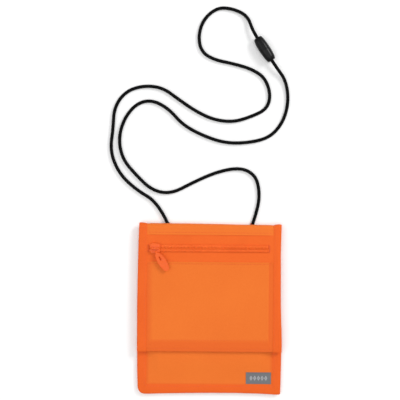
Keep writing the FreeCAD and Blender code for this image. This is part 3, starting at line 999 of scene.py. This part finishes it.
# the zip: two tapes, two coils that mesh, and the bars that end them
zipper = {"tapeTop": 8.02, "tapeThick": 0.3, "pitch": 1.3, "wire": 0.34, "base": 8.2,
          "coreIn": 0.95, "coreOut": 2.85, "coreTop": 8.98, "sewnAt": 2.35, "sewnLevel": 9.34,
          "start": boxOf("zip_coil_upper")[0][0], "end": boxOf("zip_coil_upper")[1][0]}


def zipTape(name, outer, side, node):
    # the inner edge stands clear of the slider's post, and closes past the end bars
    def place(u, v):
        x = acrossPouch(u)
        past = max(zipper["start"] - x, x - zipper["end"])
        inner = zipMiddle + side * (0.03 + 0.37 * (1 - ease(past, 0.8)))
        y = inner + (outer - inner) * v
        z = zipper["tapeTop"] + 0.05 * ripple(x, y, 18, 21) + 0.5 * seamPucker(x, y)
        return (x, y, z), (x, y)

    tape = addSheet(name, 120, 14, place, zipper["tapeThick"], -1.0 if side > 0 else 1.0)
    return dress(tape, zipTapeFinish, "flap", (node,))


upperZipTape = zipTape("upperZipTape", zipUpper[1][1] + 0.6, 1, "zip_tape_upper")
lowerZipTape = zipTape("lowerZipTape", zipLower[0][1] - 0.6, -1, "zip_tape_lower")
toothPath = [(-0.34, 3.15, 0.32), (-0.36, 3.25, 0.9), (-0.24, 0.7, 0.92), (-0.12, -0.15, 0.9),
             (0.1, -0.2, 0.35), (0.3, 0.8, 0.33), (0.36, 3.1, 0.33)]
coilFinish = solidFinish("coilNylon")
teeth = int((zipper["end"] - zipper["start"]) / zipper["pitch"])
for name, node, turned in (("upperCoil", "zip_coil_upper", 0), ("lowerCoil", "zip_coil_lower", 1)):
    places = [standing(zipper["start"] + (k + 0.35 + 0.5 * turned) * zipper["pitch"],
                       zipMiddle, zipper["base"], math.pi * turned) for k in range(teeth)]
    coil = scatter(name, bentWire("tooth", toothPath, zipper["wire"]), places)
    near, far = sorted(zipMiddle + (1 - 2 * turned) * zipper[off] for off in ("coreIn", "coreOut"))
    filler = easedBlock("filler", (zipper["start"] + 0.2, near, zipper["base"]),
                      (zipper["end"] - 0.2, far, zipper["coreTop"]), 0.2)
    dress(joinPieces(name, [coil, filler]), coilFinish, "flap", (node,))
coilLines = []
for y in (zipMiddle - zipper["sewnAt"], zipMiddle + zipper["sewnAt"]):
    coilLines += alongLine([(x, y, zipper["sewnLevel"]) for x in (zipper["start"] + 0.4,
                                                                   zipper["end"] - 0.4)],
                           upward, 2.6)
coilStitches = scatter("coilStitches", stitchModel(2.4, 0.3, 0.16), coilLines)
dress(coilStitches, coilFinish, "flap")


def barPlaces(x, y, z, high, count):
    # a bar of close stitches, each lying across it
    return [axes((x, y + high * (k / (count - 1) - 0.5), z), (1, 0, 0), upward)
            for k in range(count)]


bars = boxOf("zip_bartacks")
zipBars = []
for x in (bars[0][0] + 0.6, bars[1][0] - 0.6):
    zipBars += barPlaces(x, zipMiddle, bars[0][2] + 0.15, 6.4, 20)
dress(scatter("zipBars", stitchModel(1.5, 0.42, 0.34), zipBars), threadFinish, "flap",
      ("zip_bartacks",))
print("zip is in")

# the slider, its crown, and the pull that hangs from it
sliderBox, plateTop = boxOf("slider_body"), boxOf("slider_body")[1][2]
pull = {"pin": (-49.7214, 51.4453), "turn": -57.0, "bottom": 10.6,
        "top": 11.4, "rim": 0.55, "recess": 0.14, "slotAt": 7.2, "slotHalf": 1.3,
        "slotRadius": 0.7}
slider = {"half": 4.6, "tailHalf": 3.7, "noseHalf": 2.6, "topThick": 0.8, "underThick": 0.6,
          "railAt": 4.0, "railWide": 0.5, "railLow": 8.5, "postHalf": 0.2, "postLong": 3.0,
          "crownHalf": 0.6}
lacquer = solidFinish("orangeLacquer")
sliderMiddle = (sliderBox[0][0] + sliderBox[1][0]) / 2


def sliderOutline(margin, nose, tail):
    # from above; both long sides are the same
    half, slim = slider["half"] - margin, slider["tailHalf"] - margin
    side = [(nose, slider["noseHalf"] - margin), (nose + 0.5, half - 0.9),
            (nose + 1.5, half - 0.15), (nose + 2.6, half), (sliderMiddle, half),
            (tail - 1.0, slim + 0.12), (tail - 0.25, slim - 0.35), (tail, slim - 1.1)]
    upper = [(x, zipMiddle + y) for x, y in side]
    return upper + [(x, zipMiddle - y) for x, y in reversed(side)]


nose, tail, plateLow = sliderBox[0][0], sliderBox[1][0], sliderBox[0][2]
sliderPieces = [
    cutPlate("sliderTop", sliderOutline(0, nose, tail)[::-1], plateTop - slider["topThick"],
             plateTop, 0.24),
    cutPlate("sliderUnder", sliderOutline(0.3, nose, tail)[::-1], plateLow,
             plateLow + slider["underThick"], 0.18),
    easedBlock("sliderPost", (nose + 0.1, zipMiddle - slider["postHalf"], plateLow + 0.3),
               (nose + slider["postLong"], zipMiddle + slider["postHalf"], plateTop - 0.3), 0.08),
]
for low in (zipMiddle - slider["railAt"] - slider["railWide"], zipMiddle + slider["railAt"]):
    sliderPieces.append(easedBlock(
        "sliderRail", (nose + 2.3, low, slider["railLow"]),
        (sliderMiddle + 0.6, low + slider["railWide"], plateTop - 0.3), 0.15))
dress(joinPieces("sliderBody", sliderPieces), lacquer, "slider",
      ("slider_body",))
archOuter = [(-4.2, -0.15), (-4.15, 0.8), (-3.75, 1.35), (-3.1, 1.7), (-2.2, 1.88), (2.2, 1.88),
             (3.1, 1.7), (3.75, 1.35), (4.15, 0.8), (4.2, -0.15)]
archInner = [(3.6, -0.15), (3.55, 0.65), (3.2, 1.0), (2.1, 1.28), (-2.1, 1.28), (-3.2, 1.0),
             (-3.55, 0.65), (-3.6, -0.15)]
crown = cutPlate("sliderCrown", archOuter[::-1] + archInner[::-1], -slider["crownHalf"],
                 slider["crownHalf"], 0.16)
move(crown, Vector((0, -1, 0)).to_track_quat("Z", "Y"), (sliderMiddle, zipMiddle, plateTop))
dress(crown, lacquer, "slider", ("slider_crown",))

pullSide = [(0.0, 1.0), (1.2, 1.0), (1.6, 1.35), (1.9, 2.0), (2.6, 2.45), (4.4, 2.95),
            (6.6, 3.5), (8.6, 3.9), (10.4, 3.98), (12.6, 3.78), (15.0, 3.42), (17.2, 3.0)]
pullSide += [(17.2 + 3.0 * math.sin(a), 3.0 * math.cos(a)) for a in (0.35, 0.7, 1.05, 1.35)]
tabOutline = pullSide + [(20.2, 0.0)] + [(a, -b) for a, b in reversed(pullSide)]
tab = cutPlate("pullTab", tabOutline[::-1], pull["bottom"], pull["top"])
edit(tab)
for way in (1, -1):  # a raised rim on both faces
    selectFaces(tab, lambda middle, normal: normal.z * way > 0.9)
    bpy.ops.mesh.inset(thickness=pull["rim"] * mm)
    bpy.ops.transform.translate(value=(0, 0, -way * pull["recess"] * mm))
bpy.ops.object.mode_set(mode="OBJECT")
slot = [(pull["slotAt"] + s * pull["slotHalf"] + s * pull["slotRadius"] * math.cos(a),
         s * pull["slotRadius"] * math.sin(a)) for s in (1, -1)
        for a in [math.pi * (k / 8 - 0.5) for k in range(9)]]
slotCutter = cutPlate("slotCutter", slot, pull["bottom"] - 1, pull["top"] + 1)
useModifier(tab, "BOOLEAN", operation="DIFFERENCE", object=slotCutter, solver="EXACT")
bpy.data.objects.remove(slotCutter)
useModifier(tab, "BEVEL", width=0.12 * mm, segments=2, limit_method="ANGLE",
            angle_limit=math.radians(35))
eye = newPrimitive("pullEye", bpy.ops.mesh.primitive_cylinder_add, vertices=24,
                   radius=0.55 * mm, depth=2.0 * mm, rotation=(math.pi / 2, 0, 0),
                   location=(0, 0, 11.0 * mm))
settle(eye)
useModifier(eye, "BEVEL", width=0.12 * mm, segments=2, limit_method="ANGLE")
tab = joinPieces("pullTab", [tab, eye])
tab.rotation_euler = (0, 0, math.radians(pull["turn"]))
tab.location = (pull["pin"][0] * mm, pull["pin"][1] * mm, 0)
settle(tab)
smooth(tab, 35)
dress(tab, lacquer, "pull", ("pull_tab",))
refinish("puller_link", lacquer)
print("slider and pull are on")

# the woven label, with a plain row of diamonds
label = {"thick": 0.33, "ends": 1.6, "colour": (116, 117, 120), "deep": (92, 93, 97),
         "light": (170, 171, 174), "first": 3.0, "pitch": 3.4, "count": 5, "wide": 1.35,
         "high": 2.3, "sewnIn": 0.9, "sewnWide": 21.2, "sewnHigh": 8.9, "stitchPitch": 1.9}
labelLow, labelHigh = boxOf("woven_label")


def labelPlace(u, v):
    x = labelLow[0] + (labelHigh[0] - labelLow[0]) * u
    y = labelLow[1] + (labelHigh[1] - labelLow[1]) * v
    ends = min(x - labelLow[0], labelHigh[0] - x)
    folded = 0.12 * (1 - ease(ends - label["ends"], 0.3))
    return (x, y, frontLevel(x, y) + label["thick"] + folded), (x - labelLow[0], y - labelLow[1])


def labelFinish():
    finish = Finish("wovenLabel", 0.4, 0.3, 0.3)
    along, across = finish.place()
    middle = (labelHigh[1] - labelLow[1]) / 2
    shifted = (along - label["first"] * mm) * (1 / (label["pitch"] * mm))
    sideways = (shifted.part() - 0.5).size() * (label["pitch"] / label["wide"])
    upward = (across - middle * mm).size() * (1 / (label["high"] * mm))
    spread = sideways + upward
    ring = spread.below(1.0) * spread.above(0.52) + spread.below(0.24)
    ring = ring * shifted.above(0.0) * shifted.below(float(label["count"]))
    weft = (across * turns(0.42)).sine() * 0.5 + 0.5
    warp = (along * turns(0.36)).sine() * 0.5 + 0.5
    fibre = finish.noise(1200.0)
    ground = finish.mix((weft * 0.6 + fibre * 0.5).least(1), linear(*label["deep"]),
                        linear(*label["colour"]))
    return finish.done(finish.mix(ring.least(1), ground, linear(*label["light"])),
                       fibre * 0.15 + 0.42, weft * 0.6 + warp * 0.3 + ring * 0.8, depth=0.08)


patch = addSheet("wovenLabel", 70, 34, labelPlace, label["thick"] - 0.03)
smooth(patch, 40)
dress(patch, labelFinish(), "root", ("woven_label",))


def onLabel(x, y):
    return (x, y, frontLevel(x, y) + label["thick"] + 0.06)


edges = []
for y in (labelLow[1] + 0.75, labelHigh[1] - 0.75):
    edges += alongLine([onLabel(labelLow[0] + label["sewnIn"] + label["sewnWide"] * k / 12, y)
                        for k in range(13)], upward, label["stitchPitch"])
for x in (labelLow[0] + 0.8, labelHigh[0] - 0.8):
    edges += alongLine([onLabel(x, labelLow[1] + label["sewnIn"] + label["sewnHigh"] * k / 6)
                        for k in range(7)], upward, label["stitchPitch"])
labelStitches = scatter("labelStitches", stitchModel(1.6, 0.3, 0.2), edges)
dress(labelStitches, solidFinish("greyThread"), "root")

# hook strip under the flap, loop strip on the pouch
random.seed(7)
hookFinish = solidFinish("hookNylon")
grips = {"hookGap": 1.2, "loopGap": 1.0, "base": 0.28}
hookLow, hookHigh = boxOf("hook_strip")
loopLow, loopHigh = boxOf("loop_strip")


def onStrip(x, y):
    return frontLevel(x, y) + grips["base"]


def stripPlace(low, high, level):
    def place(u, v):
        x, y = low[0] + (high[0] - low[0]) * u, low[1] + (high[1] - low[1]) * v
        return (x, y, level(x, y)), (x, y)
    return place


hookPath = [(0, 0, 0.05), (0, 0, -0.2), (0.06, 0, -0.33), (0.2, 0, -0.2)]
loopPath = [(-0.2, 0, -0.05), (-0.16, 0, 0.3), (0.16, 0, 0.3), (0.2, 0, -0.05)]


def gripPlaces(low, high, gap, level, loose):
    places = []
    columns, rows = int((high[0] - low[0] - 1.4) / gap), int((high[1] - low[1] - 1.4) / gap)
    for i in range(columns + 1):
        for k in range(rows + 1):
            x = low[0] + 0.7 + i * gap + random.uniform(-loose, loose)
            y = low[1] + 0.7 + k * gap + random.uniform(-loose, loose)
            turn = random.uniform(0, math.tau) if loose > 0.1 else math.pi * (k % 2)
            places.append(standing(x, y, level(x, y), turn))
    return places


def addStrip(name, low, high, level, base, grip, gap, loose, body, node):
    # the band itself lies at base, and the grips stand on it at level
    band = addSheet(name + "Strip", 60, 8, stripPlace(low, high, base), grips["base"])
    stems = scatter(name + "s", grip, gripPlaces(low, high, gap, level, loose))
    dress(joinPieces(name + "Strip", [band, stems]), hookFinish, body, (node,))


addStrip("hook", hookLow, hookHigh, lambda x, y: hookHigh[2] - grips["base"],
         lambda x, y: hookHigh[2], bentWire("hook", hookPath, 0.06, 1), grips["hookGap"], 0.03,
         "flap", "hook_strip")
addStrip("loop", loopLow, loopHigh, onStrip, onStrip, bentWire("loop", loopPath, 0.05, 1),
         grips["loopGap"], 0.3, "root", "loop_strip")
stripLines = [place for y in (hookLow[1] + 0.9, hookHigh[1] - 0.9) for place in alongLine(
    [(x, y, hookHigh[2] - grips["base"]) for x in (hookLow[0], hookHigh[0])], -upward)]
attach(sewn("hookStitches", stripLines), "flap")
stripLines = [place for y in (loopLow[1] + 0.8, loopHigh[1] - 0.8)
              for place in levelLine(y, loopLow[0], loopHigh[0], onStrip)]
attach(sewn("loopStitches", stripLines), "root")
print("label and strips are on")

# the cord's ends: flat inside the pouch, and overcast where they come out of the fold
tails = {"width": 4.6, "height": 1.36, "middle": 1.36}
bartacks = []
for name, node, x in (("leftTail", "left_cord_tail", leftRoute[0][0]),
                      ("rightTail", "right_cord_tail", rightRoute[0][0])):
    low, high = boxOf(node)
    line = [Vector((x, y, tails["middle"])) * mm for y in (low[1], high[1] - 0.4)]
    tail, _ = addBraid(name, line, tails["width"], tails["height"], 0.5)
    dress(tail, cordFinish, "root", (node,))
    bartacks += [standing(x, low[1] + up - 0.6 + 0.4 * k, 0) for up in (1.8, 10.5)
                 for k in range(4)]
bridge = [(-3.5, 0, 0.7), (-2.9, 0, 1.1), (-2.0, 0, 2.25), (2.0, 0, 2.25), (2.9, 0, 1.1),
          (3.5, 0, 0.7)]
dress(scatter("cordBars", bentWire("barThread", bridge, 0.16), bartacks), threadFinish,
      "root", ("cord_bartacks",))
eyelet = {"level": 76.75, "from": -24, "sweep": 228, "radius": 2.05, "ahead": 0.25,
          "back": 0.55, "lean": 0.35}
eyelets = []
for path in (leftPath, rightPath):
    spots = [Vector(p) / mm for p in path]
    number = next(k for k, spot in enumerate(spots) if spot.y > eyelet["level"])
    along = (spots[number + 1] - spots[number - 1]).normalized()
    side = along.cross(upward)
    for k in range(11):
        angle = math.radians(eyelet["from"] + eyelet["sweep"] * k / 10)
        out = side * math.cos(angle) + upward * math.sin(angle)
        back = eyelet["back"] * max(math.sin(angle), -0.2) ** 2
        centre = spots[number] + out * eyelet["radius"] + along * (eyelet["ahead"] - back)
        eyelets.append(axes(centre, out - along * eyelet["lean"], along))
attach(sewn("exitStitches", eyelets, stitchModel(1.3, 0.5, 0.34)), "root")
print("cord ends are sewn in")

# the clasp: a barrel in two halves, with a stem that snaps into the socket
clasp = {"middle": (48.35, 238.1, 5.2), "turn": -56.6, "sides": 48, "flute": 0.24,
         "fluteEdge": 0.3, "fluteHalf": 16, "flutes": (64, 184, 304), "fluteFrom": 1.2,
         "fluteTo": 10.4, "fluteOut": 3.4}
claspOuter = [(5.04, 0.02), (5.14, 0.16), (5.16, 1.0), (5.15, 2.2), (5.12, 3.6), (5.02, 5.2),
              (4.86, 6.8), (4.76, 8.0), (4.60, 9.2), (4.30, 10.4), (3.92, 11.4), (3.55, 12.05),
              (2.95, 12.4), (1.66, 12.4)]
socketRings = [(2.9, 0.2), (4.5, 0.2), (4.6, 0.02)] + claspOuter
socketRings += [(1.66, 11.1), (2.9, 11.1), (2.9, 0.2)]
plugRings = [(2.2, -4.95), (2.6, -4.75), (2.75, -4.4), (2.75, -3.4), (2.5, -3.15), (2.5, -2.5),
             (2.75, -2.25), (2.75, -0.12), (4.35, -0.12), (4.42, 0.02)] + claspOuter
plugRings += [(1.66, 11.1), (2.6, 11.1), (2.6, 7.7)]


def selectRing(piece, height):
    # the open edge at one height of a turned piece
    bpy.ops.mesh.select_all(action="DESELECT")
    bpy.ops.mesh.select_non_manifold()
    net = bmesh.from_edit_mesh(piece.data)
    for edge in net.edges:
        if any(abs(v.co.z - height * mm) > 0.01 * mm for v in edge.verts):
            edge.select_set(False)
    bmesh.update_edit_mesh(piece.data)


def turnedPiece(name, rings, closed):
    # ring after ring extruded up the axis and drawn in or out
    piece = newPrimitive(name, bpy.ops.mesh.primitive_circle_add, vertices=clasp["sides"],
                         radius=rings[0][0] * mm, location=(0, 0, rings[0][1] * mm),
                         fill_type="NOTHING")
    settle(piece)
    edit(piece)
    bpy.ops.mesh.select_mode(type="EDGE")
    bpy.ops.mesh.select_all(action="SELECT")
    for (radius, height), (wide, level) in zip(rings, rings[1:]):
        raiseBy(level - height)
        share = wide / radius
        bpy.ops.transform.resize(value=(share, share, 1), center_override=(0, 0, level * mm))
    if not closed:
        for height in (rings[0][1], rings[-1][1]):
            selectRing(piece, height)
            bpy.ops.mesh.edge_face_add()
    bpy.ops.mesh.select_all(action="SELECT")
    bpy.ops.mesh.remove_doubles(threshold=0.002 * mm)
    faceOut()
    return piece


def claspHalf(name, rings, closed, side, finish, body, node):
    half = turnedPiece(name, rings, closed)
    edit(half)
    for around in clasp["flutes"]:  # long grip hollows
        def inHollow(middle, normal):
            angle = math.degrees(math.atan2(middle.y, middle.x)) % 360
            off = abs((angle - around + 180) % 360 - 180)
            outside = math.hypot(middle.x, middle.y) > clasp["fluteOut"] * mm
            within = clasp["fluteFrom"] * mm < middle.z < clasp["fluteTo"] * mm
            return off < clasp["fluteHalf"] and outside and within
        selectFaces(half, inHollow)
        bpy.ops.mesh.inset(thickness=clasp["fluteEdge"] * mm)
        bpy.ops.transform.shrink_fatten(value=-clasp["flute"] * mm)
    bpy.ops.object.mode_set(mode="OBJECT")
    turn = math.radians(clasp["turn"])
    way = Vector((math.cos(turn), math.sin(turn), 0)) * side
    move(half, way.to_track_quat("Z", "Y"), clasp["middle"])
    smooth(half, 32)
    return dress(half, finish, body, (node,))


plastic = solidFinish("claspPlastic")
socket = claspHalf("claspSocket", socketRings, True, 1, plastic, "root", "clasp_socket")
plug = claspHalf("claspPlug", plugRings, False, -1, plastic, "clasp_half", "clasp_plug")
for node in ("left_cord_knot", "right_cord_knot"):
    refinish(node, plastic)
print("clasp is closed")

# the sewn edges as they lie: drawn out unevenly beyond the pattern's straight lines
outline = {
    "left": ([-80, -70, -60, -40, -10, 5, 20, 35, 50, 60, 70, 78],
             [0.8, 0.9, 1.3, 1.5, 1.55, 1.6, 1.45, 1.25, 1.0, 0.8, 0.5, 0.2]),
    "right": ([-80, -70, -58, -40, -31, -20, -9, 5, 20, 35, 50, 60, 70, 78],
              [0.3, 0.6, 0.85, 1.1, 1.2, 0.95, 0.45, 0.05, -0.05, -0.1, -0.3, -0.1, 0.15, 0.3]),
    "bottom": ([-65, -56, -41, -26, -12, 3, 25, 40, 47, 54, 61, 66],
               [2.0, 2.0, 1.5, 1.17, 0.92, 0.75, 0.72, 0.95, 1.2, 1.5, 1.9, 1.9]),
    "top": ([-65, -40, -10, 10, 25, 50, 58, 62, 66],
            [0.15, 0.0, -0.1, -0.5, -0.7, -0.85, -0.8, -0.3, -0.2]),
    "edge": 57.0, "run": 8.0, "lowEdge": -69.5, "topEdge": 69.5,
}


def drawOut(piece):
    for vertex in piece.data.vertices:
        x, y = vertex.co.x / mm, vertex.co.y / mm
        left = ease(-x - outline["edge"], outline["run"]) * np.interp(y, *outline["left"])
        right = ease(x - outline["edge"], outline["run"]) * np.interp(y, *outline["right"])
        down = ease(outline["lowEdge"] - y, outline["run"]) * np.interp(x, *outline["bottom"])
        up = ease(y - outline["topEdge"], outline["run"]) * np.interp(x, *outline["top"])
        vertex.co.x += (right - left) * mm
        vertex.co.y += (up - down) * mm


for piece in (backShell, backLining, frontShell, flapLining, flapTop, flapPanel, topFold,
              upperZipTape, lowerZipTape, bodyStitches, flapStitches, foldStitches,
              *bound.values()):
    drawOut(piece)
print("edges lie as they were sewn")

# the cut sizes of the cloth, worked out but not kept; the narrow top strip is left out
cutWidth = 2 * acrossPouch(1) * mm
for piece, low, high, held, on in (
        (backShell, sewnLow, foldStart, "stretched", bound["bodyBinding"]),
        (backLining, sewnLow, foldStart, "stretched", backShell),
        (frontShell, sewnLow, frontMouth, "stretched", bound["bodyBinding"]),
        (flapLining, flapEdge + 1.0, foldStart, "stretched", bound["leftFlapBinding"]),
        (flapPanel, flapEdge - hem["roll"] - hem["tuck"], hem["upperEdge"], "folded",
         bound["leftFlapBinding"])):
    (high - low) * mm
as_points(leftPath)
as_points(rightPath)


# the floor
def floorFinish():
    finish = Finish("paleFloor", 0.1)
    cloudy = finish.noise(3.0)
    colour = finish.mix(cloudy, linear(*studio["floorDull"]), linear(*studio["floorColour"]))
    return finish.done(colour, cloudy * 0.1 + 0.85)


floor = newPrimitive("floor", bpy.ops.mesh.primitive_plane_add, size=6,
                     location=(0, 0.1, -0.05 * mm))
settle(floor)
floor.data.materials.append(floorFinish())

print("done")
